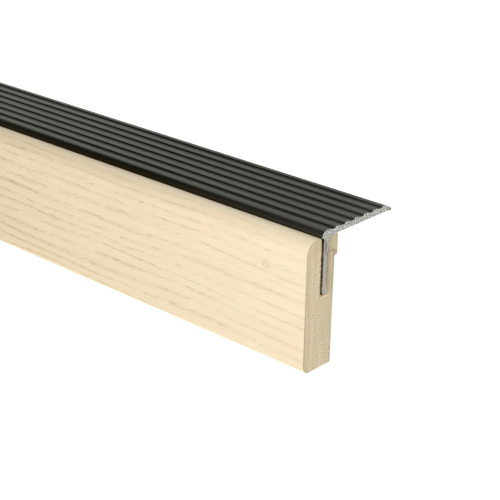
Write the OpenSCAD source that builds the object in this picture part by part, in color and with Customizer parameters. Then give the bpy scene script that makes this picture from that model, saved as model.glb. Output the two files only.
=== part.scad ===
// Stair nosing bar: a narrow fibreboard bar wrapped in a wood decor, with a ribbed
// aluminium tread profile plugged into a slot in its top edge.
// The section lies in the YZ plane and runs along X. The front face looks towards -Y and
// the bar stands on its bottom edge, as it does against the edge of a stair.

/* [Bar] */
// Length of the bar, a length that it is sold in
bar_length = 1000; // [300:50:2700]

/* [Board] */
// Thickness of the board from the front to the back
board_t = 12; // [11:0.5:18]
// Height of the board up to its rounded top
board_h = 40; // [34:0.5:80]
// Radius of the nose, where the front turns into the top
nose_r = 4.2; // [2:0.1:5]
// Radius along the bottom front edge
toe_r = 2.8; // [1:0.1:5]
// Radius from the top down into the slot
slot_edge_r = 1.1; // [0.6:0.1:1.2]
// Drop from the top to the seat behind the slot
seat_drop = 0.4; // [0:0.1:1]

/* [Slot] */
// Distance from the front face to the slot
slot_y = 6.2; // [6.2:0.1:7]
// Width of the slot
slot_w = 3; // [2.6:0.1:3.6]
// Depth of the slot below the seat
slot_depth = 17.3; // [12:0.1:24]

/* [Decor] */
// Thickness of the decor that is wrapped around the board
decor_t = 0.3; // [0.2:0.05:0.5]

/* [Back strip] */
// Height of the strip's head, which carries the profile
strip_h = 4.6; // [3:0.1:8]
// How far the strip stands out behind the board
strip_out = 1.2; // [0.8:0.1:2]
// How far the strip's tail hangs down the back of the board
strip_tail = 2.1; // [1:0.1:4]
// How far the tail is let into the back of the board
strip_let_in = 0.2; // [0.1:0.1:1]
// How much the tail's underside rises to the back
strip_rise = 0.4; // [0.1:0.05:0.8]
// Radius along the strip's top back edge
strip_edge_r = 0.6; // [0.2:0.1:0.7]

/* [Tread plate] */
// Depth of the plate from its nose to its thin back edge
plate_d = 31.3; // [26:0.1:45]
// Thickness of the plate under the grooves
web_t = 1.7; // [1.2:0.1:2.4]
// Height of the ribs above the grooves
rib_h = 0.4; // [0.3:0.05:0.8]
// Width of the flat crown behind the round nose
nose_crown = 1; // [0.6:0.1:2]
// Width of the first groove, between the nose and the second rib
first_groove = 1.3; // [0.8:0.1:2]
// Distance that the ribs are set at, rounded to fill the plate evenly
rib_spacing = 4.3; // [3.6:0.1:6]
// Run of a rib's steep front face
rib_face = 0.1; // [0.05:0.05:0.4]
// Width of a rib's flat crown
rib_crown = 1.5; // [0.8:0.1:1.6]
// Run of a rib's long back slope
rib_slope = 1.1; // [0.6:0.1:1.2]
// Width of the last rib's crown, in front of the ramp
last_crown = 1.15; // [0.6:0.05:1.5]
// Length of the ramp down to the thin back edge
ramp_d = 3.2; // [2.6:0.1:6]
// Radius of the ramp's gentle crown
ramp_r = 9; // [6:0.5:20]
// Thickness of the back edge
edge_t = 0.3; // [0.2:0.05:0.6]
// How far the back edge dips to bite on the tread
edge_dip = 0.25; // [0.05:0.05:0.35]

/* [Plug-in leg] */
// Clearance between the slot's front wall and the leg
leg_gap = 1; // [0.6:0.1:1.2]
// Relief between the leg's waist and the slot's rear wall
waist_relief = 0.3; // [0.2:0.1:0.6]
// Height of the thick root below the plate
root_h = 6.6; // [3:0.1:9]
// Height of the bead's flat at the leg's lower end
bead_h = 1.4; // [0.6:0.1:2]
// Radius of the two corners under the bead
bead_r = 0.6; // [0.2:0.1:0.6]
// Clearance between the leg's end and the slot's floor
leg_end_gap = 0.2; // [0.1:0.1:1.5]
// Fillet between the leg and the underside of the nose
leg_fillet = 0.4; // [0.1:0.1:0.6]

/* [Hidden] */
$fn = 96;
over = 1;

seat_z = board_h - seat_drop;
slot_rear_y = slot_y + slot_w;
slot_floor_z = seat_z - slot_depth;
strip_z = seat_z - strip_h;
strip_back_y = board_t + strip_out;
tail_y = board_t - strip_let_in;
tail_z = strip_z - strip_tail;

plate_t = web_t + rib_h;
plate_y = slot_y;
plate_end_y = plate_y + plate_d;
web_z = seat_z + web_t;
top_z = seat_z + plate_t;
ramp_y = plate_end_y - ramp_d;
crown_end = rib_face + rib_crown;
rib_w = crown_end + rib_slope;
nose_crown_y = plate_y + plate_t + nose_crown;
second_rib_y = nose_crown_y + rib_slope + first_groove;
last_rib_y = ramp_y - last_crown - rib_face;
rib_gaps = round((last_rib_y - second_rib_y) / rib_spacing);
rib_pitch = (last_rib_y - second_rib_y) / rib_gaps;

leg_y = slot_y + leg_gap;
root_t = slot_w - leg_gap;
waist_t = root_t - waist_relief;
bead_z = slot_floor_z + leg_end_gap + bead_r;
root_z = seat_z - root_h;

// Turns a section into the full bar, centred on its length and its depth.
module bar() {
    translate([-bar_length / 2, -plate_end_y / 2, 0])
        rotate([90, 0, 90])
            linear_extrude(bar_length) children();
}

// A quarter of a ring around the origin, in the quadrant that the two signs name.
module quarter_ring(r, thick, sy, sz) {
    intersection() {
        difference() {
            circle(r);
            circle(r - thick);
        }
        quadrant(r + over, sy, sz);
    }
}

// What a rounding takes off a square corner: the quadrant less a disc.
module corner_waste(size, r, sy, sz) {
    difference() {
        quadrant(size, sy, sz);
        circle(r);
    }
}

// A square with one corner at the origin, in the quadrant that the two signs name.
module quadrant(size, sy, sz) {
    translate([sy < 0 ? -size : 0, sz < 0 ? -size : 0]) square(size);
}

// The board's bare section: the decor's room is taken off its front and its top.
module board_section() {
    difference() {
        square([board_t, board_h]);
        translate([-over, 0]) square([over + decor_t, board_h]);
        translate([nose_r, board_h - decor_t]) square([slot_y - nose_r, decor_t + over]);
        translate([nose_r, board_h - nose_r]) corner_waste(nose_r + over, nose_r - decor_t, -1, 1);
        translate([toe_r, toe_r]) corner_waste(toe_r + over, toe_r - decor_t, -1, -1);
        translate([slot_y - slot_edge_r, board_h - slot_edge_r])
            corner_waste(slot_edge_r + over, slot_edge_r - decor_t, 1, 1);
        translate([slot_y, slot_floor_z]) square([slot_w, board_h]);
        translate([slot_y + slot_w / 2, strip_z]) square([board_t, board_h]);
        translate([tail_y, tail_z]) square([strip_let_in + over, board_h]);
    }
}

// The decor follows the same three centres as the board: toe, nose and slot edge.
module decor_section() {
    translate([0, toe_r]) square([decor_t, board_h - nose_r - toe_r]);
    translate([nose_r, board_h - decor_t]) square([slot_y - slot_edge_r - nose_r, decor_t]);
    translate([toe_r, toe_r]) quarter_ring(toe_r, decor_t, -1, -1);
    translate([nose_r, board_h - nose_r]) quarter_ring(nose_r, decor_t, -1, 1);
    translate([slot_y - slot_edge_r, board_h - slot_edge_r])
        quarter_ring(slot_edge_r, decor_t, 1, 1);
}

// An L in section: a head beside the slot and a tail down the back of the board.
module strip_section() {
    difference() {
        union() {
            translate([slot_rear_y, strip_z]) square([strip_back_y - slot_rear_y, strip_h]);
            polygon([
                [tail_y, tail_z],
                [board_t, tail_z],
                [strip_back_y, tail_z + strip_rise],
                [strip_back_y, seat_z],
                [tail_y, seat_z]
            ]);
        }
        translate([strip_back_y - strip_edge_r, seat_z - strip_edge_r])
            corner_waste(strip_edge_r + over, strip_edge_r, 1, 1);
    }
}

// One rib's outline from back to front: long slope, flat crown, steep face to the nose.
function rib(y) = [
    [y + rib_w, web_z],
    [y + crown_end, top_z],
    [y + rib_face, top_z],
    [y, web_z]
];

// The disc that gives the ramp its crown passes through the ramp's start and the back edge.
function disc_centre(a, b, r) =
    let (chord = b - a, rise = sqrt(r * r - chord * chord / 4))
    (a + b) / 2 + [chord[1], -chord[0]] / norm(chord) * rise;

module ramp_waste() {
    centre = disc_centre([ramp_y, top_z], [plate_end_y, seat_z + edge_t], ramp_r);
    difference() {
        translate([ramp_y, seat_z]) square([ramp_d + over, plate_t + over]);
        translate(centre) circle(ramp_r, $fn = 360);
    }
}

// The tread plate: round nose, web, ribs, and the ramp down to a thin edge that dips.
module plate_section() {
    translate([plate_y + plate_t, seat_z]) intersection() {
        circle(plate_t);
        quadrant(plate_t + over, -1, 1);
    }
    difference() {
        polygon([
            [plate_y + plate_t, seat_z],
            [plate_end_y - ramp_d / 2, seat_z],
            [plate_end_y - 1.5 * edge_t, seat_z - edge_dip],
            [plate_end_y, seat_z - edge_dip / 2],
            [plate_end_y, top_z],
            [last_rib_y + rib_face, top_z],
            [last_rib_y, web_z],
            for (i = [rib_gaps - 1 : -1 : 0]) each rib(second_rib_y + i * rib_pitch),
            [nose_crown_y + rib_slope, web_z],
            [nose_crown_y, top_z],
            [plate_y + plate_t, top_z]
        ]);
        ramp_waste();
    }
}

// The leg fills the slot's rear side: thick root, relieved waist and a round-cornered bead.
module leg_section() {
    translate([leg_y, bead_z]) {
        polygon([
            [0, 0],
            [root_t, 0],
            [root_t, bead_h],
            [waist_t, bead_h + waist_relief],
            [waist_t, root_z - waist_relief - bead_z],
            [root_t, root_z - bead_z],
            [root_t, seat_z + web_t / 2 - bead_z],
            [0, seat_z + web_t / 2 - bead_z]
        ]);
        translate([bead_r, -bead_r]) square([root_t - 2 * bead_r, 2 * bead_r]);
        for (y = [bead_r, root_t - bead_r]) translate([y, 0]) circle(bead_r);
    }
    translate([leg_y - leg_fillet, seat_z - leg_fillet]) difference() {
        square([leg_fillet + waist_t / 2, leg_fillet + web_t / 4]);
        circle(leg_fillet);
    }
}

module nosing_board() {
    color("#CFC0A0") bar() board_section();
}

module decor_foil() {
    color("#F0E0C0") bar() decor_section();
}

module back_strip() {
    color("#C6B48E") bar() strip_section();
}

module tread_profile() {
    color("#3C3D39") bar() {
        plate_section();
        leg_section();
    }
}

nosing_board();
decor_foil();
back_strip();
tread_profile();
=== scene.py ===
import functools
import math

import bpy
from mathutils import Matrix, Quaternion, Vector


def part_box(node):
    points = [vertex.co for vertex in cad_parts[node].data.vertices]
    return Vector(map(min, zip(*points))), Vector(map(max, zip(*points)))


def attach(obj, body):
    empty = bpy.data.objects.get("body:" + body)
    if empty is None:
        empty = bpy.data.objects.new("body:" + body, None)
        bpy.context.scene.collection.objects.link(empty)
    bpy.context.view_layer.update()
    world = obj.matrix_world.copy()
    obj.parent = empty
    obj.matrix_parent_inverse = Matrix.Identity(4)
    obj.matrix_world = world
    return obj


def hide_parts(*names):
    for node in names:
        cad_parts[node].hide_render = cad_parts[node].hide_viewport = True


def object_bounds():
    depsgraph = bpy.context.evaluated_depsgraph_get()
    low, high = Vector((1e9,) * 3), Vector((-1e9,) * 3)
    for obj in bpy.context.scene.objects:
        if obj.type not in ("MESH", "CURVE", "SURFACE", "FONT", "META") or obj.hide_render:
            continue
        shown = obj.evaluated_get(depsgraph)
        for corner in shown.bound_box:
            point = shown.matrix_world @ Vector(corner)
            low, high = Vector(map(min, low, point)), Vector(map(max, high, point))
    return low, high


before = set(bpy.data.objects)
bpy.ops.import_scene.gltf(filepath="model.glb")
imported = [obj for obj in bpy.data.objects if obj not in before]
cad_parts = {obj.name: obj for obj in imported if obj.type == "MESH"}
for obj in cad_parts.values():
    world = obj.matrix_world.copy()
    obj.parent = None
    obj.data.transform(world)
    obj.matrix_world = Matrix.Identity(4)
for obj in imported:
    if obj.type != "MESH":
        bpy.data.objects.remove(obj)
cad_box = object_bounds()
bpy.ops.object.select_all(action="DESELECT")

# Nosing board
# A bar of high density fibreboard, ripped from a 12 mm panel. A moulder planes the round nose,
# the toe and the step at the back, a grooving saw cuts the slot for the tread profile, and the
# ends are sawn square. Its section is drawn in mm, from the decor's front face and the floor.
MM = 0.001
BOARD_T = 12.0
BOARD_H = 40.0
NOSE_R = 4.2
TOE_R = 2.8
SLOT_EDGE_R = 1.1
SLOT_Y = 6.2
SLOT_BACK_Y = 9.2
SLOT_FLOOR_Z = 22.3
STRIP_Z = 35.0
SEAT_Z = 39.6
TAIL_Y = 11.8
TAIL_Z = 32.9
DECOR_T = 0.3
BOARD_EASE = 0.08
SHARP_DEGREES = 30
ARC_STEP_DEGREES = 5

front_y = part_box("decor_foil")[0].y / MM
left_x, right_x = (corner.x / MM for corner in cad_box)
cursor = bpy.context.scene.cursor


def section_point(y, z):
    """A point of the section at the far end, from mm behind the front and above the floor."""
    return Vector((left_x, front_y + y, z)) * MM


def start_outline(name, y, z):
    """Leaves one vertex of a new object in edit mode, with the 3D cursor on it as the pen."""
    bpy.ops.mesh.primitive_plane_add(size=MM, location=section_point(y, z))
    bpy.context.object.name = bpy.context.object.data.name = name
    bpy.ops.object.mode_set(mode="EDIT")
    bpy.ops.mesh.merge(type="CENTER")
    cursor.location = section_point(y, z)


def line_to(y, z):
    """Extrudes the last vertex in a straight line."""
    step = section_point(y, z) - cursor.location
    bpy.ops.mesh.extrude_region_move(TRANSFORM_OT_translate={"value": step})
    cursor.location = section_point(y, z)


def arc_round(y, z, degrees, degrees_a_step=ARC_STEP_DEGREES):
    """Spins the last vertex round a centre, anticlockwise as seen from the near end."""
    centre, angle = section_point(y, z), math.radians(degrees)
    steps = max(3, round(abs(degrees) / degrees_a_step))
    bpy.ops.mesh.spin(steps=steps, angle=angle, center=centre, axis=(-1, 0, 0))
    cursor.location = centre + Quaternion((1, 0, 0), angle) @ (cursor.location - centre)


def close_outline():
    """Joins the outline's last vertex to its first and fills it."""
    bpy.ops.mesh.select_all(action="SELECT")
    bpy.ops.mesh.remove_doubles(threshold=0.001 * MM)
    bpy.ops.mesh.edge_face_add()


def run_to_length():
    """Extrudes the outline along the bar, and puts the object's origin at the frame's."""
    length = Vector(((right_x - left_x) * MM, 0, 0))
    bpy.ops.mesh.select_all(action="SELECT")
    bpy.ops.mesh.extrude_region_move(TRANSFORM_OT_translate={"value": length})
    bpy.ops.mesh.select_all(action="SELECT")
    bpy.ops.mesh.normals_make_consistent(inside=False)
    bpy.ops.object.mode_set(mode="OBJECT")
    bpy.ops.object.transform_apply()
    return bpy.context.object


def apply_modifier(piece, kind, **settings):
    """Adds a modifier with its settings and applies it."""
    modifier = piece.modifiers.new(kind.title(), kind)
    for setting, value in settings.items():
        setattr(modifier, setting, value)
    bpy.ops.object.modifier_apply(modifier=modifier.name)


def ease_edges(piece, width):
    """Rounds every sharp edge by a hair, and shades the arcs smooth and the flats flat."""
    apply_modifier(
        piece, "BEVEL", width=width * MM, segments=2, limit_method="ANGLE",
        angle_limit=math.radians(SHARP_DEGREES), use_clamp_overlap=False,
    )
    bpy.ops.object.shade_smooth_by_angle(angle=math.radians(SHARP_DEGREES + 5))
    apply_modifier(piece, "WEIGHTED_NORMAL", keep_sharp=True)


start_outline("fibreboard_bar", TOE_R, 0)
line_to(BOARD_T, 0)
line_to(BOARD_T, TAIL_Z)
line_to(TAIL_Y, TAIL_Z)
line_to(TAIL_Y, STRIP_Z)
line_to(SLOT_BACK_Y, STRIP_Z)
line_to(SLOT_BACK_Y, SLOT_FLOOR_Z)
line_to(SLOT_Y, SLOT_FLOOR_Z)
line_to(SLOT_Y, BOARD_H - SLOT_EDGE_R)
line_to(SLOT_Y - DECOR_T, BOARD_H - SLOT_EDGE_R)
arc_round(SLOT_Y - SLOT_EDGE_R, BOARD_H - SLOT_EDGE_R, 90)
line_to(NOSE_R, BOARD_H - DECOR_T)
arc_round(NOSE_R, BOARD_H - NOSE_R, 90)
line_to(DECOR_T, TOE_R)
arc_round(TOE_R, TOE_R, 90)
close_outline()
board = run_to_length()
ease_edges(board, BOARD_EASE)


def linear(hex_colour):
    """An sRGB hex colour as the linear RGBA that a socket takes."""
    parts = [int(hex_colour[i : i + 2], 16) / 255 for i in (1, 3, 5)]
    return [p / 12.92 if p <= 0.04045 else ((p + 0.055) / 1.055) ** 2.4 for p in parts] + [1]


def add_node(tree, kind, inputs=None, **settings):
    """Adds a node. Each input gets a value, an output, or the first output of a node."""
    node = tree.nodes.new("ShaderNode" + kind)
    for setting, value in settings.items():
        setattr(node, setting, value)
    for name, value in (inputs or {}).items():
        named = [s for s in node.inputs if s.enabled and s.name == name]
        socket = named[0] if named else node.inputs[name]
        if isinstance(value, bpy.types.Node):
            value = next(s for s in value.outputs if s.enabled)
        if isinstance(value, bpy.types.NodeSocket):
            tree.links.new(value, socket)
        else:
            socket.default_value = value
    return node


def new_material(name, **shader_values):
    """A material with these shader values, an add for its nodes, its shader, and its place in mm.

    The place is counted as the section's points are, but along the bar from the bar's middle.
    """
    material = bpy.data.materials.new(name)
    material.use_nodes = True
    add = functools.partial(add_node, material.node_tree)
    shader = material.node_tree.nodes["Principled BSDF"]
    for socket, value in shader_values.items():
        shader.inputs[socket.replace("_", " ").title()].default_value = value
    place = add("Mapping", {
        "Vector": add("TexCoord").outputs["Object"],
        "Scale": (1 / MM,) * 3, "Location": (0, -front_y, 0),
    })
    return material, add, shader, place


LAYER_T = 1.1
LAYER_STRETCH = (0.1, 1, 0.07)
SKIN_STARTS, SKIN_IS_FULL = 4.6, 5.7
FIBRE_W = 0.35
TUFT_SPACING = 0.55
TUFT_GROUP_W = 6.0
SHADOW_BELOW_TUFT = 0.35


def fibreboard(name, base, shade, pale, relief_mm, tuft_shadow="#917F62", skin=0.0):
    """Fibreboard: wood fibre pressed in faint layers, torn into pale tufts by the saw, each with
    a painted highlight and a painted shadow below it.
    """
    material, add, shader, place = new_material(name)
    link = material.node_tree.links.new
    y = add("SeparateXYZ", {"Vector": place}).outputs["Y"]
    # The layers lie in the panel's plane, about 1 mm thick and 15 mm long
    layers = add("TexNoise", {
        "Vector": add("Mapping", {"Vector": place, "Scale": LAYER_STRETCH}),
        "Scale": 1 / LAYER_T, "Detail": 3.0,
    })
    layered = add("MapRange", {
        "Value": layers, "From Min": 0.38, "From Max": 0.64, "To Min": 0.0, "To Max": 0.3,
    })
    # The panel's two skins are pressed denser and darker over 1 mm, in streaks
    off_middle = add("Math", {0: y, 1: BOARD_T / 2}, operation="SUBTRACT")
    off_middle = add("Math", {0: off_middle}, operation="ABSOLUTE")
    skinned = add("MapRange", {
        "Value": off_middle, "From Min": SKIN_STARTS, "From Max": SKIN_IS_FULL,
        "To Min": 0.0, "To Max": skin,
    })
    streaked = add("Math", {0: layers, 1: skinned}, operation="MULTIPLY")
    toned = add("Math", {0: layered, 1: streaked}, operation="ADD", use_clamp=True)
    # The fibres are finer than a pixel of the render, so they are drawn 0.35 mm wide
    fibres = add("TexNoise", {
        "Vector": place, "Scale": 1 / FIBRE_W, "Detail": 3.0, "Roughness": 0.65,
    })
    fibred = add("MapRange", {
        "Value": fibres, "From Min": 0.3, "From Max": 0.7, "To Min": 0.3, "To Max": 0.0,
    })
    # Tufts 0.4 mm across stand in loose groups 6 mm wide, pale with a painted highlight, each
    # with a painted shadow just below it
    groups = add("TexNoise", {"Vector": place, "Scale": 1 / TUFT_GROUP_W, "Detail": 1.0})
    grouped = add("MapRange", {
        "Value": groups, "From Min": 0.46, "From Max": 0.58, "To Min": 0.1,
    })
    torn = {}
    for kind, shift in (("tuft", 0.0), ("tuft_shadow", SHADOW_BELOW_TUFT)):
        spots = add("TexNoise", {
            "Vector": add("Mapping", {"Vector": place, "Location": (0, -shift, shift)}),
            "Scale": 1 / TUFT_SPACING, "Detail": 1.0,
        })
        spot = add("MapRange", {"Value": spots, "From Min": 0.6, "From Max": 0.68, "To Max": 0.9})
        torn[kind] = add("Math", {0: spot, 1: grouped}, operation="MULTIPLY")
    tone = add("Mix", {"Factor": toned, "A": linear(base), "B": linear(shade)}, data_type="RGBA")
    tone = add("Mix", {"Factor": fibred, "A": tone, "B": linear(shade)}, data_type="RGBA")
    # The painted shadow below each tuft, then the tuft's pale fibre and painted highlight
    tone = add("Mix", {"Factor": torn["tuft_shadow"], "A": tone, "B": linear(tuft_shadow)}, data_type="RGBA")
    tone = add("Mix", {"Factor": torn["tuft"], "A": tone, "B": linear(pale)}, data_type="RGBA")
    link(tone.outputs["Result"], shader.inputs["Base Color"])
    # Loose fibre ends are duller than the pressed ground
    dulled = add("MapRange", {
        "Value": fibres, "From Min": 0.3, "From Max": 0.7, "To Min": 0.78, "To Max": 0.92,
    })
    link(dulled.outputs["Result"], shader.inputs["Roughness"])
    bump = add("Bump", {"Height": fibres, "Distance": relief_mm * MM, "Strength": 1.0})
    link(bump.outputs["Normal"], shader.inputs["Normal"])
    return material


THICK_DUST_W = 1.5
FILM_TOP, FILM_BOTTOM = 0.3, 1.3
NICK_W, NICK_D = 0.8, 0.4
GLUE_LINE_HALF_W = 0.3


def mark_sawn_end(material):
    """Adds marks to a sawn end: tones round the slot, nicks painted with shade, and a glue line
    with painted shade.
    """
    tree = material.node_tree
    add = functools.partial(add_node, tree)
    base_colour = tree.nodes["Principled BSDF"].inputs["Base Color"]
    place = add("Mapping", {
        "Vector": add("TexCoord").outputs["Object"],
        "Scale": (1 / MM,) * 3, "Location": (0, -front_y, 0),
    })
    _, y, z = add("SeparateXYZ", {"Vector": place}).outputs
    behind_slot = add("MapRange", {
        "Value": y, "From Min": SLOT_BACK_Y - 0.3, "From Max": SLOT_BACK_Y,
    })
    in_front = add("MapRange", {"Value": y, "From Min": SLOT_Y + 0.2, "From Max": SLOT_Y + 0.1})
    above_floor = add("MapRange", {
        "Value": z, "From Min": SLOT_FLOOR_Z - 0.5, "From Max": SLOT_FLOOR_Z + 1,
    })
    beside_leg = add("Math", {0: behind_slot, 1: above_floor}, operation="MULTIPLY")
    # Behind the slot the end is darker and browner, strongly for 1.5 mm beside the leg and
    # faintly on the rest of the board
    thick = add("MapRange", {
        "Value": y, "From Min": SLOT_BACK_Y, "From Max": SLOT_BACK_Y + THICK_DUST_W,
        "To Min": 0.4, "To Max": 0.0,
    })
    thin = add("MapRange", {
        "Value": z, "From Min": STRIP_Z, "From Max": STRIP_Z - 0.3, "To Min": 0.0, "To Max": 0.17,
    })
    overlaid = add("Math", {0: thick, 1: thin}, operation="ADD")
    darker_behind_slot = add("Math", {0: overlaid, 1: beside_leg}, operation="MULTIPLY")
    tone = add("Mix", {
        "Factor": darker_behind_slot, "A": base_colour.links[0].from_socket, "B": linear("#7B6852"),
    }, data_type="RGBA")
    # A greener film lies for 1 mm below the plate
    tinted = add("MapRange", {
        "Value": z, "From Min": SEAT_Z - FILM_BOTTOM, "From Max": SEAT_Z - FILM_TOP,
        "To Min": 0.0, "To Max": 0.45,
    })
    tinted = add("Math", {0: tinted, 1: behind_slot}, operation="MULTIPLY")
    tone = add("Mix", {"Factor": tinted, "A": tone, "B": linear("#9DA388")}, data_type="RGBA")
    # In front of the slot's mouth the end is a little darker and yellower towards the top
    yellower_at_top = add("MapRange", {
        "Value": z, "From Min": STRIP_Z - 1, "From Max": STRIP_Z + 1.5,
        "To Min": 0.0, "To Max": 0.35,
    })
    off_decor = add("MapRange", {"Value": y, "From Min": 1.2, "From Max": 2.7})
    for mask in (in_front, off_decor):
        yellower_at_top = add("Math", {0: yellower_at_top, 1: mask}, operation="MULTIPLY")
    tone = add("Mix", {"Factor": yellower_at_top, "A": tone, "B": linear("#ACA078")}, data_type="RGBA")
    # The saw has nicked the slot's front edge, up to 0.4 mm deep, and the nicks are painted dark
    # as painted shade from the slot
    at_edge = add("MapRange", {
        "Value": y, "From Min": SLOT_Y - NICK_D, "From Max": SLOT_Y - 0.1, "To Max": 0.8,
    })
    nicks = add("TexNoise", {"Vector": place, "Scale": 1 / NICK_W, "Detail": 2.0})
    nick_shade = add("MapRange", {"Value": nicks, "From Min": 0.5, "From Max": 0.57})
    for mask in (at_edge, above_floor, in_front):
        nick_shade = add("Math", {0: nick_shade, 1: mask}, operation="MULTIPLY")
    tone = add("Mix", {"Factor": nick_shade, "A": tone, "B": linear("#47381F")}, data_type="RGBA")
    # The joint round the strip is an L, so the larger of two distances is zero along it
    over = add("Math", {0: z, 1: STRIP_Z}, operation="SUBTRACT")
    behind = add("Math", {0: y, 1: TAIL_Y}, operation="SUBTRACT")
    outside = add("Math", {0: over, 1: behind}, operation="MAXIMUM")
    off_joint = add("Math", {0: outside}, operation="ABSOLUTE")
    # The glue line is dark glue with painted shade of the joint laid over it
    glue_line_and_shade = add("MapRange", {
        "Value": off_joint, "From Min": 0.1, "From Max": GLUE_LINE_HALF_W,
        "To Min": 0.7, "To Max": 0.0,
    })
    above_tail = add("MapRange", {"Value": z, "From Min": TAIL_Z - 0.1, "From Max": TAIL_Z})
    for mask in (above_tail, behind_slot):
        glue_line_and_shade = add("Math", {0: glue_line_and_shade, 1: mask}, operation="MULTIPLY")
    tone = add("Mix", {"Factor": glue_line_and_shade, "A": tone, "B": linear("#7D6E52")}, data_type="RGBA")
    tree.links.new(tone.outputs["Result"], base_colour)
    return material


def finish_piece(piece, node, along, ends):
    """Gives the long faces and the sawn ends their materials, parents the piece to the root body
    and hides its CAD part.
    """
    for material in (along, ends):
        piece.data.materials.append(material)
    for face in piece.data.polygons:
        face.material_index = 1 if abs(face.normal.x) > 0.5 else 0
    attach(piece, "root")
    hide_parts(node)
    piece.select_set(False)


finish_piece(
    board, "nosing_board",
    fibreboard("sanded fibreboard", "#C8B99A", "#B7A888", "#D2C5A9", 0.01),
    mark_sawn_end(fibreboard("sawn fibreboard", "#D1C2A3", "#A39274", "#ECE1C8", 0.06, skin=0.6)),
)

# Decor foil
# A laminate printed as pale ash, 0.3 mm thick, wrapped hot round the toe, the front and the nose
# and down over the slot's front edge.
FOIL_EASE = 0.04
GROWTH_LINE_SPACING = 3.3
WANDER, WANDER_L, WANDER_W = 6.0, 60, 9
JITTER, JITTER_L, JITTER_W = 0.6, 5, 3
BAND_L, DASH_L, RING_STEP = 20.0, 3.0, 7.3
STREAK_L, STREAK_W = 25, 1.1
PORE_L, PORE_W, PORE_D, PORE_SLANT = 4, 0.4, 0.05, -7
HALF_DRUM = 160.0
NOSE_SHADE_FROM, NOSE_SHADE_TO = 41.0, 45.2
KNOT_FROM_END, KNOT_ACROSS = 14.6, 29.6
KNOT_RIM_R, KNOT_STRETCH = 0.7, 1.5
CLOUD_L, CLOUD_W = 90, 12
PATCH_L, PATCH_W = 20, 6

start_outline("ash_decor_foil", TOE_R, 0)
arc_round(TOE_R, TOE_R, -90)
line_to(0, BOARD_H - NOSE_R)
arc_round(NOSE_R, BOARD_H - NOSE_R, -90)
line_to(SLOT_Y - SLOT_EDGE_R, BOARD_H)
arc_round(SLOT_Y - SLOT_EDGE_R, BOARD_H - SLOT_EDGE_R, -90)
foil = run_to_length()
apply_modifier(foil, "SOLIDIFY", thickness=DECOR_T * MM, offset=-1, use_even_offset=True)
ease_edges(foil, FOIL_EASE)


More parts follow.
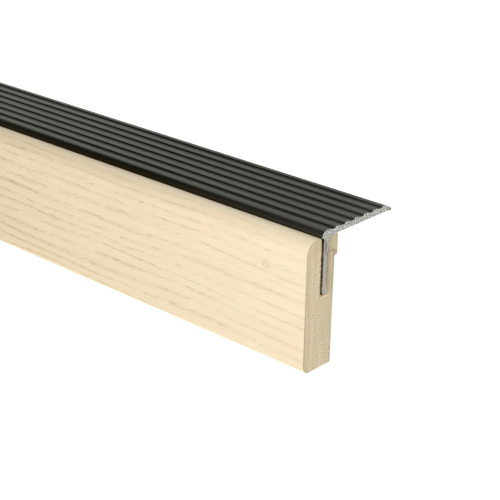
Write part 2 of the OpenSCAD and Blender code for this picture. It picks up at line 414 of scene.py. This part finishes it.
def ash_laminate(name):
    """Ash-printed melamine laminate: satin, with wavy growth lines broken into dashes."""
    material, add, shader, place = new_material(name)
    link = material.node_tree.links.new
    x, y, z = add("SeparateXYZ", {"Vector": place}).outputs
    # The print runs on over the nose and the toe: y counts on above mid height, and off below it
    half = add("Math", {0: z, 1: BOARD_H / 2}, operation="SUBTRACT")
    side = add("Math", {0: half}, operation="SIGN")
    across = add("Math", {0: y, 1: side, 2: z}, operation="MULTIPLY_ADD")
    sheet = add("CombineXYZ", {"X": x, "Y": across})

    # Growth lines, 3.3 mm apart on average, wander by 1 to 2 mm in 60 mm and by 0.1 mm in 5 mm
    wander = add("TexNoise", {
        "Vector": add("Mapping", {"Vector": sheet, "Scale": (1 / WANDER_L, 1 / WANDER_W, 1)}),
        "Scale": 1.0, "Detail": 2.0,
    })
    jitter = add("TexNoise", {
        "Vector": add("Mapping", {"Vector": sheet, "Scale": (1 / JITTER_L, 1 / JITTER_W, 1)}),
        "Scale": 1.0, "Detail": 3.0,
    })
    wandered = add("Math", {0: wander, 1: WANDER, 2: across}, operation="MULTIPLY_ADD")
    wandered = add("Math", {0: jitter, 1: JITTER, 2: wandered}, operation="MULTIPLY_ADD")
    rings = add("Math", {0: wandered, 1: GROWTH_LINE_SPACING}, operation="DIVIDE")
    ring = add("Math", {0: rings}, operation="FLOOR")
    within = add("Math", {0: rings}, operation="FRACT")
    off_line = add("Math", {0: within, 1: 0.5}, operation="PINGPONG")
    band = add("MapRange", {
        "Value": off_line, "From Min": 0.5, "From Max": 0.26, "To Min": 1.0, "To Max": 0.0,
    }, interpolation_type="SMOOTHSTEP")
    line = add("MapRange", {
        "Value": off_line, "From Min": 0.5, "From Max": 0.38, "To Min": 1.0, "To Max": 0.0,
    }, interpolation_type="SMOOTHSTEP")
    # A line's soft band comes and goes over some 20 mm, and the dashes of pores in it over 3 mm.
    # Every ring has runs of its own
    runs = {}
    for kind, length in (("band", BAND_L), ("line", DASH_L)):
        runs[kind] = add("TexNoise", {
            "Vector": add("CombineXYZ", {
                "X": add("Math", {0: x, 1: length}, operation="DIVIDE"),
                "Y": add("Math", {0: ring, 1: RING_STEP}, operation="MULTIPLY"),
            }),
            "Scale": 1.0, "Detail": 3.0, "Roughness": 0.6,
        })
    banded = add("MapRange", {
        "Value": runs["band"], "From Min": 0.44, "From Max": 0.62, "To Min": 0.02, "To Max": 0.42,
    })
    dashed = add("MapRange", {"Value": runs["line"], "From Min": 0.45, "From Max": 0.65})
    # Faint streaks 1 mm wide lie between the lines
    streaks = add("TexNoise", {
        "Vector": add("Mapping", {"Vector": sheet, "Scale": (1 / STREAK_L, 1 / STREAK_W, 1)}),
        "Scale": 1.0, "Detail": 2.0,
    })
    streaked = add("MapRange", {
        "Value": streaks, "From Min": 0.4, "From Max": 0.65, "To Min": 0.0, "To Max": 0.14,
    })
    bands = add("Math", {0: band, 1: banded, 2: streaked}, operation="MULTIPLY_ADD")
    lines = add("Math", {0: line, 1: dashed}, operation="MULTIPLY")
    dashes = add("Math", {0: lines, 1: banded, 2: bands}, operation="MULTIPLY_ADD")
    # Pores run out of the face at a slant, in nicks 4 mm long. They are 0.2 mm wide, drawn 0.4 mm
    # wide to show
    slanted = add("Mapping", {"Vector": sheet, "Rotation": (0, 0, math.radians(PORE_SLANT))})
    pores = add("TexNoise", {
        "Vector": add("Mapping", {"Vector": slanted, "Scale": (1 / PORE_L, 1 / PORE_W, 1)}),
        "Scale": 1.0, "Detail": 2.0,
    })
    pored = add("MapRange", {"Value": pores, "From Min": 0.5, "From Max": 0.72})
    near_line = add("MapRange", {
        "Value": off_line, "From Min": 0.2, "From Max": 0.45, "To Min": 0.1, "To Max": 1.0,
    })
    specks = add("Math", {0: pored, 1: near_line}, operation="MULTIPLY")
    # The print's drum is 320 mm round. With every turn the ground drifts from a pale cream to a
    # warm one and back, the grain from faint to strong, and one pin knot 3 mm long comes round
    to_end = add("Math", {0: right_x, 1: x}, operation="SUBTRACT")
    turned = add("Math", {0: to_end, 1: HALF_DRUM}, operation="PINGPONG")
    strength = add("Math", {0: turned, 1: 1 / HALF_DRUM, 2: 0.5}, operation="MULTIPLY_ADD")
    grain = add("Math", {0: specks, 1: 0.9, 2: dashes}, operation="MULTIPLY_ADD")
    # Towards the top of the nose, by the black profile, the ground is darkened with painted
    # shade, and the grain is fainter
    nose_shade = add("MapRange", {"Value": across, "From Min": NOSE_SHADE_FROM, "From Max": NOSE_SHADE_TO})
    grain_kept = add("Math", {0: nose_shade, 1: -0.5, 2: 1.0}, operation="MULTIPLY_ADD")
    strength = add("Math", {0: strength, 1: grain_kept}, operation="MULTIPLY")
    grain = add("Math", {0: grain, 1: strength}, operation="MULTIPLY")
    along_knot = add("Math", {0: to_end, 1: KNOT_FROM_END}, operation="SUBTRACT")
    along_knot = add("Math", {0: along_knot, 1: HALF_DRUM, 2: -HALF_DRUM}, operation="WRAP")
    across_knot = add("Math", {0: across, 1: KNOT_ACROSS}, operation="SUBTRACT")
    off_knot = add("VectorMath", {
        0: add("CombineXYZ", {
            "X": add("Math", {0: along_knot, 1: KNOT_STRETCH}, operation="DIVIDE"),
            "Y": across_knot,
        }),
    }, operation="LENGTH").outputs["Value"]
    off_rim = add("Math", {0: off_knot, 1: KNOT_RIM_R}, operation="SUBTRACT")
    off_rim = add("Math", {0: off_rim}, operation="ABSOLUTE")
    knot = add("MapRange", {
        "Value": off_rim, "From Min": 0.0, "From Max": 0.65, "To Min": 0.5, "To Max": 0.0,
    })
    grain = add("Math", {0: grain, 1: knot}, operation="MAXIMUM", use_clamp=True)
    # Clouds as long as a hand lie over the drift
    clouds = add("TexNoise", {
        "Vector": add("Mapping", {"Vector": sheet, "Scale": (1 / CLOUD_L, 1 / CLOUD_W, 1)}),
        "Scale": 1.0, "Detail": 2.0,
    })
    drift = add("Math", {0: turned, 1: 1 / HALF_DRUM, 2: -0.15}, operation="MULTIPLY_ADD")
    cloud = add("Math", {0: clouds, 1: 0.5, 2: drift}, operation="MULTIPLY_ADD", use_clamp=True)
    ground = add("Mix", {
        "Factor": cloud, "A": linear("#F0E1C2"), "B": linear("#E3D0AD"),
    }, data_type="RGBA")
    # Fainter patches 20 mm long have a blush of pink
    patches = add("TexNoise", {
        "Vector": add("Mapping", {"Vector": sheet, "Scale": (1 / PATCH_L, 1 / PATCH_W, 1)}),
        "Scale": 1.0, "Detail": 1.0,
    })
    blush = add("MapRange", {"Value": patches, "From Min": 0.4, "From Max": 0.65, "To Max": 0.55})
    ground = add("Mix", {"Factor": blush, "A": ground, "B": linear("#EED6B7")}, data_type="RGBA")
    # Painted shade towards the nose's top
    ground = add("Mix", {"Factor": nose_shade, "A": ground, "B": linear("#CFC0A0")}, data_type="RGBA")
    tone = add("Mix", {"Factor": grain, "A": ground, "B": linear("#CEB88F")}, data_type="RGBA")
    link(tone.outputs["Result"], shader.inputs["Base Color"])
    # The embossed pores are duller than the satin ground
    dulled = add("MapRange", {"Value": grain, "To Min": 0.4, "To Max": 0.6})
    link(dulled.outputs["Result"], shader.inputs["Roughness"])
    bump = add("Bump", {"Height": grain, "Distance": PORE_D * MM, "Strength": 1.0}, invert=True)
    link(bump.outputs["Normal"], shader.inputs["Normal"])
    return material


finish_piece(
    foil, "decor_foil",
    ash_laminate("ash printed laminate"),
    fibreboard("laminate core", "#B8A88A", "#A69678", "#C4B496", 0.0),
)

# Back strip
# A small L-shaped strip of fibreboard, glued on behind the slot. It brings the board up to the
# underside of the tread profile and packs its back out to meet the tread.
STRIP_BACK_Y = 13.2
STRIP_RISE = 0.4
STRIP_EDGE_R = 0.6
STRIP_EASE = 0.1

start_outline("glued_back_strip", SLOT_BACK_Y, STRIP_Z)
line_to(TAIL_Y, STRIP_Z)
line_to(TAIL_Y, TAIL_Z)
line_to(BOARD_T, TAIL_Z)
line_to(STRIP_BACK_Y, TAIL_Z + STRIP_RISE)
line_to(STRIP_BACK_Y, SEAT_Z - STRIP_EDGE_R)
arc_round(STRIP_BACK_Y - STRIP_EDGE_R, SEAT_Z - STRIP_EDGE_R, 90, degrees_a_step=10)
line_to(SLOT_BACK_Y, SEAT_Z)
close_outline()
strip = run_to_length()
ease_edges(strip, STRIP_EASE)

finish_piece(
    strip, "back_strip",
    fibreboard("sanded strip", "#BDAA85", "#AC9A76", "#C8B794", 0.01),
    mark_sawn_end(fibreboard("sawn strip", "#BFB08E", "#A1926E", "#D8CBA9", 0.05)),
)

# Tread profile
# An aluminium extrusion, anodised black before it was sawn to length, so that its ends are bare.
# Seven ribs give grip on the plate, and the leg under its nose plugs into the board's slot.
PLATE_END_Y = 37.5
GROOVE_Z = 41.3
CROWN_Z = 41.7
PLATE_R = 2.1
NOSE_CROWN = 1.0
RIB_FACE = 0.1
RIB_CROWN = 1.5
RIB_SLOPE = 1.1
FIRST_RIB_Y = 11.7
RIB_PITCH = 4.27
RIBS = 5
LAST_RIB_Y = FIRST_RIB_Y + RIBS * RIB_PITCH
LAST_CROWN = 1.15
RAMP_R = 9.0
LEG_Y = 7.2
LEG_FILLET = 0.4
BEAD_Z = 23.1
BEAD_R = 0.6
BEAD_H = 1.4
WAIST_RELIEF = 0.3
ROOT_Z = 33.0
EDGE_Z = 39.9
EDGE_DIP = 0.25
EDGE_T = 0.3
RAMP_HALF_D = 1.6
EXTRUSION_EASE = 0.05
EDGE_HIGHLIGHT_HALF_W = 0.3
FOOT_REFLECTION_Z = SEAT_Z + 1.6
LEE_Y = -1.35
GROOVE_DUST_REACH = 70
CUT_DUST_REACH = 12
CRUMB_REACH = 6
CRUMB_W = 0.8
DIE_LINE_SPACING = 0.2
DIE_LINE_L = 400
DIE_LINE_D = 0.004

nose_y = SLOT_Y + PLATE_R
ramp_y = LAST_RIB_Y + RIB_FACE + LAST_CROWN
ramp_chord = Vector((PLATE_END_Y - ramp_y, EDGE_Z - CROWN_Z))
ramp_rise = math.sqrt(RAMP_R**2 - ramp_chord.length_squared / 4)
ramp_centre = (
    Vector((ramp_y, CROWN_Z)) + ramp_chord / 2
    + Vector((ramp_chord.y, -ramp_chord.x)).normalized() * ramp_rise
)
ramp_degrees = math.degrees(2 * math.asin(ramp_chord.length / 2 / RAMP_R))

start_outline("black_tread_profile", SLOT_Y, SEAT_Z)
line_to(LEG_Y - LEG_FILLET, SEAT_Z)
arc_round(LEG_Y - LEG_FILLET, SEAT_Z - LEG_FILLET, -90, degrees_a_step=18)
line_to(LEG_Y, BEAD_Z)
arc_round(LEG_Y + BEAD_R, BEAD_Z, 90, degrees_a_step=15)
line_to(SLOT_BACK_Y - BEAD_R, BEAD_Z - BEAD_R)
arc_round(SLOT_BACK_Y - BEAD_R, BEAD_Z, 90, degrees_a_step=15)
line_to(SLOT_BACK_Y, BEAD_Z + BEAD_H)
line_to(SLOT_BACK_Y - WAIST_RELIEF, BEAD_Z + BEAD_H + WAIST_RELIEF)
line_to(SLOT_BACK_Y - WAIST_RELIEF, ROOT_Z - WAIST_RELIEF)
line_to(SLOT_BACK_Y, ROOT_Z)
line_to(SLOT_BACK_Y, SEAT_Z)
line_to(PLATE_END_Y - RAMP_HALF_D, SEAT_Z)
line_to(PLATE_END_Y - 1.5 * EDGE_T, SEAT_Z - EDGE_DIP)
line_to(PLATE_END_Y, SEAT_Z - EDGE_DIP / 2)
line_to(PLATE_END_Y, EDGE_Z)
arc_round(*ramp_centre, ramp_degrees, degrees_a_step=3)
line_to(LAST_RIB_Y + RIB_FACE, CROWN_Z)
line_to(LAST_RIB_Y, GROOVE_Z)
for rib in reversed(range(RIBS)):
    rib_y = FIRST_RIB_Y + rib * RIB_PITCH
    line_to(rib_y + RIB_FACE + RIB_CROWN + RIB_SLOPE, GROOVE_Z)
    line_to(rib_y + RIB_FACE + RIB_CROWN, CROWN_Z)
    line_to(rib_y + RIB_FACE, CROWN_Z)
    line_to(rib_y, GROOVE_Z)
line_to(nose_y + NOSE_CROWN + RIB_SLOPE, GROOVE_Z)
line_to(nose_y + NOSE_CROWN, CROWN_Z)
line_to(nose_y, CROWN_Z)
arc_round(nose_y, SEAT_Z, 90)
close_outline()
profile = run_to_length()
ease_edges(profile, EXTRUSION_EASE)


def black_anodised_aluminium(name):
    """Extruded aluminium, dyed black in its oxide: satin, with fine lines from the die."""
    material, add, shader, place = new_material(name, specular_tint=linear("#FEFFF8"))
    link = material.node_tree.links.new
    x, y, z = add("SeparateXYZ", {"Vector": place}).outputs
    # The front edge of every rib's crown is painted greyer over 0.3 mm to each side, a painted
    # highlight for the light that the rounded edge catches
    from_edge = add("Math", {0: y, 1: FIRST_RIB_Y + RIB_FACE}, operation="SUBTRACT")
    past_nose = add("Math", {0: from_edge, 1: -0.5}, operation="GREATER_THAN")
    from_edge = add("Math", {0: from_edge, 1: RIB_PITCH / 2, 2: -RIB_PITCH / 2}, operation="WRAP")
    off_edge = add("Math", {0: from_edge}, operation="ABSOLUTE")
    edge_highlight = add("MapRange", {
        "Value": off_edge, "From Min": 0.1, "From Max": EDGE_HIGHLIGHT_HALF_W,
        "To Min": 1.0, "To Max": 0.0,
    })
    edge_highlight = add("Math", {0: edge_highlight, 1: past_nose}, operation="MULTIPLY")
    # The nose's crown gets a fainter painted highlight, where the round begins
    off_nose = add("Math", {0: y, 1: nose_y - 0.1}, operation="SUBTRACT")
    off_nose = add("Math", {0: off_nose}, operation="ABSOLUTE")
    nose_edge_highlight = add("MapRange", {
        "Value": off_nose, "From Min": 0.2, "From Max": 0.5, "To Min": 0.3, "To Max": 0.0,
    })
    edge_highlight = add("Math", {0: edge_highlight, 1: nose_edge_highlight}, operation="MAXIMUM")
    near_crown = add("MapRange", {
        "Value": z, "From Min": CROWN_Z - 0.3, "From Max": CROWN_Z - 0.1,
    })
    edge_highlight = add("Math", {0: edge_highlight, 1: near_crown}, operation="MULTIPLY")
    # The nose is left polished, and blacker, as far as the first groove
    first_groove_y = nose_y + NOSE_CROWN + RIB_SLOPE
    polished = add("MapRange", {
        "Value": y, "From Min": first_groove_y + 0.2, "From Max": first_groove_y - 0.2,
    })
    ground = add("Mix", {
        "Factor": polished, "A": linear("#25261F"), "B": linear("#181812"),
    }, data_type="RGBA")
    tone = add("Mix", {"Factor": edge_highlight, "A": ground, "B": linear("#45463F")}, data_type="RGBA")
    # The ribs' steep faces are painted blackest, as painted shade
    below_crown = add("MapRange", {
        "Value": z, "From Min": CROWN_Z - 0.15, "From Max": CROWN_Z - 0.03,
        "To Min": 1.0, "To Max": 0.0,
    })
    off_face = add("Math", {0: from_edge, 1: RIB_FACE / 2}, operation="ADD")
    off_face = add("Math", {0: off_face}, operation="ABSOLUTE")
    face_shade = add("MapRange", {
        "Value": off_face, "From Min": 0.06, "From Max": 0.16, "To Min": 0.5, "To Max": 0.0,
    })
    for mask in (below_crown, past_nose):
        face_shade = add("Math", {0: face_shade, 1: mask}, operation="MULTIPLY")
    tone = add("Mix", {"Factor": face_shade, "A": tone, "B": linear("#0A0A05")}, data_type="RGBA")
    # The nose's foot, 1 mm up from the decor, is painted brown: a painted reflection of the decor
    on_foot = add("MapRange", {"Value": z, "From Min": FOOT_REFLECTION_Z, "From Max": SEAT_Z + 0.5})
    on_nose = add("Math", {0: y, 1: nose_y}, operation="LESS_THAN")
    tinted = add("Math", {0: on_foot, 1: on_nose}, operation="MULTIPLY")
    tone = add("Mix", {"Factor": tinted, "A": tone, "B": linear("#2D2310")}, data_type="RGBA")
    # Grey saw dust clings in the grooves within 70 mm of the ends
    from_middle = add("Math", {0: x}, operation="ABSOLUTE")
    near_end = add("MapRange", {
        "Value": from_middle, "From Min": right_x - GROOVE_DUST_REACH, "From Max": right_x - 5,
        "To Min": 0.0, "To Max": 0.08,
    })
    # Along the whole bar the grey also lies in the lee of the ribs' long slopes: painted light on
    # the groove floor
    off_lee = add("Math", {0: from_edge, 1: LEE_Y}, operation="SUBTRACT")
    off_lee = add("Math", {0: off_lee}, operation="ABSOLUTE")
    lee_light = add("MapRange", {
        "Value": off_lee, "From Min": 0.35, "From Max": 0.8, "To Min": 0.12, "To Max": 0.0,
    })
    lee_light = add("Math", {0: lee_light, 1: past_nose}, operation="MULTIPLY")
    overlaid = add("Math", {0: near_end, 1: lee_light}, operation="ADD")
    overlaid = add("Math", {0: overlaid, 1: below_crown}, operation="MULTIPLY")
    # In the last 12 mm it lies on everything, thicker to the back, where the blade comes out
    at_cut = add("MapRange", {
        "Value": from_middle, "From Min": right_x - CUT_DUST_REACH, "From Max": right_x - 3,
        "To Max": 0.09,
    })
    to_back = add("MapRange", {
        "Value": y, "From Min": FIRST_RIB_Y, "From Max": LAST_RIB_Y, "To Min": 0.2, "To Max": 1.0,
    })
    overlaid = add("Math", {0: at_cut, 1: to_back, 2: overlaid}, operation="MULTIPLY_ADD")
    tone = add("Mix", {"Factor": overlaid, "A": tone, "B": linear("#AAA79D")}, data_type="RGBA")
    # Wood dust packs into the mouth of the slot in matt brown crumbs 0.8 mm across, over a brown
    # painted light bounced into the slot from the fibreboard
    crumbs = add("TexNoise", {"Vector": place, "Scale": 1 / CRUMB_W, "Detail": 2.0})
    crumbs_and_bounce = add("MapRange", {
        "Value": crumbs, "From Min": 0.43, "From Max": 0.56, "To Min": 0.3, "To Max": 1.0,
    })
    in_slot = add("MapRange", {"Value": z, "From Min": SEAT_Z - 0.5, "From Max": SEAT_Z - 1.5})
    in_mouth = add("MapRange", {
        "Value": from_middle, "From Min": right_x - CRUMB_REACH, "From Max": right_x - 2,
    })
    for mask in (in_slot, in_mouth):
        crumbs_and_bounce = add("Math", {0: crumbs_and_bounce, 1: mask}, operation="MULTIPLY")
    tone = add("Mix", {"Factor": crumbs_and_bounce, "A": tone, "B": linear("#8F7B54")}, data_type="RGBA")
    bare = add("Math", {0: 1.0, 1: crumbs_and_bounce}, operation="SUBTRACT")
    link(bare.outputs["Value"], shader.inputs["Metallic"])
    link(tone.outputs["Result"], shader.inputs["Base Color"])
    # The dust and the painted light dull the satin a little, and the crumbs are matt
    dulled = add("MapRange", {"Value": overlaid, "From Max": 0.3, "To Min": 0.3, "To Max": 0.34})
    dulled = add("Math", {0: crumbs_and_bounce, 1: 0.5, 2: dulled}, operation="MULTIPLY_ADD")
    link(dulled.outputs["Value"], shader.inputs["Roughness"])
    # The die lines are too fine to show, so they are drawn 0.2 mm apart; they run 0.4 m or so
    lines = add("TexNoise", {
        "Vector": add("Mapping", {
            "Vector": place, "Scale": (DIE_LINE_SPACING / DIE_LINE_L, 1, 1),
        }),
        "Scale": 1 / DIE_LINE_SPACING, "Detail": 2.0,
    })
    bump = add("Bump", {"Height": lines, "Distance": DIE_LINE_D * MM, "Strength": 1.0})
    link(bump.outputs["Normal"], shader.inputs["Normal"])
    return material


TORN_GRAIN_W = 0.5
TORN_GRAIN_D = 0.08
SMEAR_STREAK_W, SMEAR_STREAK_L, SMEAR_STREAK_SHIFT = 0.4, 4, 1.7
TIP_SHADE_D = 2


def sawn_aluminium(name):
    """Bare aluminium as a circular saw leaves it: bright grey, torn into specks and marks."""
    material, add, shader, place = new_material(name, metallic=1.0)
    link = material.node_tree.links.new
    _, y, z = add("SeparateXYZ", {"Vector": place}).outputs
    grains = add("TexNoise", {
        "Vector": place, "Scale": 1 / TORN_GRAIN_W, "Detail": 3.0, "Roughness": 0.7,
    })
    grained = add("MapRange", {"Value": grains, "From Min": 0.38, "From Max": 0.62})
    tone = add("Mix", {
        "Factor": grained, "A": linear("#5C5D58"), "B": linear("#DCDED7"),
    }, data_type="RGBA")
    # The teeth smear the leg darker: the thick root in streaks, shifted so that a dark one runs
    # down its middle, and the waist to a smooth greenish grey
    in_leg = add("MapRange", {
        "Value": z, "From Min": SEAT_Z, "From Max": SEAT_Z - 2, "To Max": 0.6,
    })
    below_root = add("MapRange", {"Value": z, "From Min": ROOT_Z + 1.5, "From Max": ROOT_Z - 1})
    streaks = add("TexNoise", {
        "Vector": add("Mapping", {
            "Vector": place, "Location": (0, SMEAR_STREAK_SHIFT, 0),
            "Scale": (1, 1 / SMEAR_STREAK_W, 1 / SMEAR_STREAK_L),
        }),
        "Scale": 1.0, "Detail": 2.0,
    })
    streaked = add("MapRange", {"Value": streaks, "From Min": 0.42, "From Max": 0.56})
    smear = add("Mix", {
        "Factor": streaked, "A": linear("#3E3636"), "B": linear("#B5ACA8"),
    }, data_type="RGBA")
    smear = add("Mix", {
        "Factor": below_root, "A": smear, "B": linear("#ABAC99"),
    }, data_type="RGBA")
    tone = add("Mix", {"Factor": in_leg, "A": tone, "B": smear}, data_type="RGBA")
    # Wood dust is packed behind the waist and smeared 0.4 mm over its rear edge
    waist_back_y = SLOT_BACK_Y - WAIST_RELIEF
    smeared = add("MapRange", {
        "Value": y, "From Min": waist_back_y - 0.55, "From Max": waist_back_y - 0.25,
        "To Max": 1.3,
    })
    above_bead = add("MapRange", {
        "Value": z, "From Min": BEAD_Z + BEAD_H - 0.4, "From Max": BEAD_Z + BEAD_H + 0.6,
    })
    for mask in (in_leg, above_bead, below_root):
        smeared = add("Math", {0: smeared, 1: mask}, operation="MULTIPLY")
    tone = add("Mix", {"Factor": smeared, "A": tone, "B": linear("#A08F72")}, data_type="RGBA")
    # The plate's thin tip is painted darker towards its edge over the last 2 mm, as painted shade
    tip_shade = add("MapRange", {
        "Value": y, "From Min": PLATE_END_Y - TIP_SHADE_D, "From Max": PLATE_END_Y - 0.8,
        "To Max": 0.6,
    })
    tone = add("Mix", {"Factor": tip_shade, "A": tone, "B": linear("#55564F")}, data_type="RGBA")
    link(tone.outputs["Result"], shader.inputs["Base Color"])
    # The bright specks are burnished, and the torn ground between them is duller
    dulled = add("MapRange", {
        "Value": grains, "From Min": 0.38, "From Max": 0.62, "To Min": 0.58, "To Max": 0.42,
    })
    link(dulled.outputs["Result"], shader.inputs["Roughness"])
    bump = add("Bump", {"Height": grains, "Distance": TORN_GRAIN_D * MM, "Strength": 1.0})
    link(bump.outputs["Normal"], shader.inputs["Normal"])
    return material


finish_piece(
    profile, "tread_profile",
    black_anodised_aluminium("black anodised aluminium"),
    sawn_aluminium("sawn aluminium"),
)

# Studio
# A plain white floor under a pale sky that is brighter towards the horizon, with one small soft
# lamp in front of the near end and one large one high behind the bar.
FLOOR_SIZE = 30
FLOOR_GLOW = 0.72
SKY_AT_HORIZON, SKY_OVERHEAD = 0.8, 0.25

bpy.ops.mesh.primitive_plane_add(size=FLOOR_SIZE, location=(0, 0, 0))
floor = bpy.context.object
floor.name = "floor"
floor_paint = new_material(
    "white floor", roughness=1.0, base_color=linear("#BCBCBC"),
    emission_color=linear("#FFFFFF"), emission_strength=FLOOR_GLOW,
)[0]
floor.data.materials.append(floor_paint)

world = bpy.data.worlds.new("pale sky")
bpy.context.scene.world = world
world.use_nodes = True
add = functools.partial(add_node, world.node_tree)
height = add("SeparateXYZ", {"Vector": add("TexCoord").outputs["Generated"]}).outputs["Z"]
sky = add("MapRange", {"Value": height, "To Min": SKY_AT_HORIZON, "To Max": SKY_OVERHEAD})
world.node_tree.links.new(
    sky.outputs["Result"], world.node_tree.nodes["Background"].inputs["Color"]
)

near_corner = Vector((right_x, front_y, BOARD_H)) * MM
for name, spot, size, watts in (
    ("front lamp", (0.8, -0.3, 0.45), 0.3, 1.9),
    ("back lamp", (-0.42, 0.59, 1.07), 0.9, 3.2),
):
    bpy.ops.object.light_add(type="AREA", location=spot)
    lamp = bpy.context.object
    lamp.name = name
    lamp.data.shape = "DISK"
    lamp.data.size = size
    lamp.data.energy = watts
    lamp.rotation_euler = (near_corner - lamp.location).to_track_quat("-Z", "Y").to_euler()
bpy.context.scene.view_settings.view_transform = "Standard"

# Camera
# It looks down on the near end from the front, as the photograph does. Its place and its turn
# come from the straight edges in the photograph.
CAMERA_SPOT = (0.7077, -0.2739, 0.1787)
AZIMUTH, ELEVATION, ROLL = 41.82, 23.18, 1.07
LENS, SENSOR_WIDTH = 95.97, 36
NEAR_CLIP = 0.01

bpy.ops.object.camera_add(location=CAMERA_SPOT)
camera = bpy.context.object
azimuth, elevation = math.radians(AZIMUTH), math.radians(ELEVATION)
towards = Vector((
    -math.sin(azimuth) * math.cos(elevation),
    math.cos(azimuth) * math.cos(elevation),
    -math.sin(elevation),
))
camera.rotation_mode = "QUATERNION"
camera.rotation_quaternion = (
    towards.to_track_quat("-Z", "Y") @ Quaternion((0, 0, 1), math.radians(ROLL))
)
camera.data.lens = LENS
camera.data.sensor_width = SENSOR_WIDTH
camera.data.clip_start = NEAR_CLIP
bpy.context.scene.camera = camera
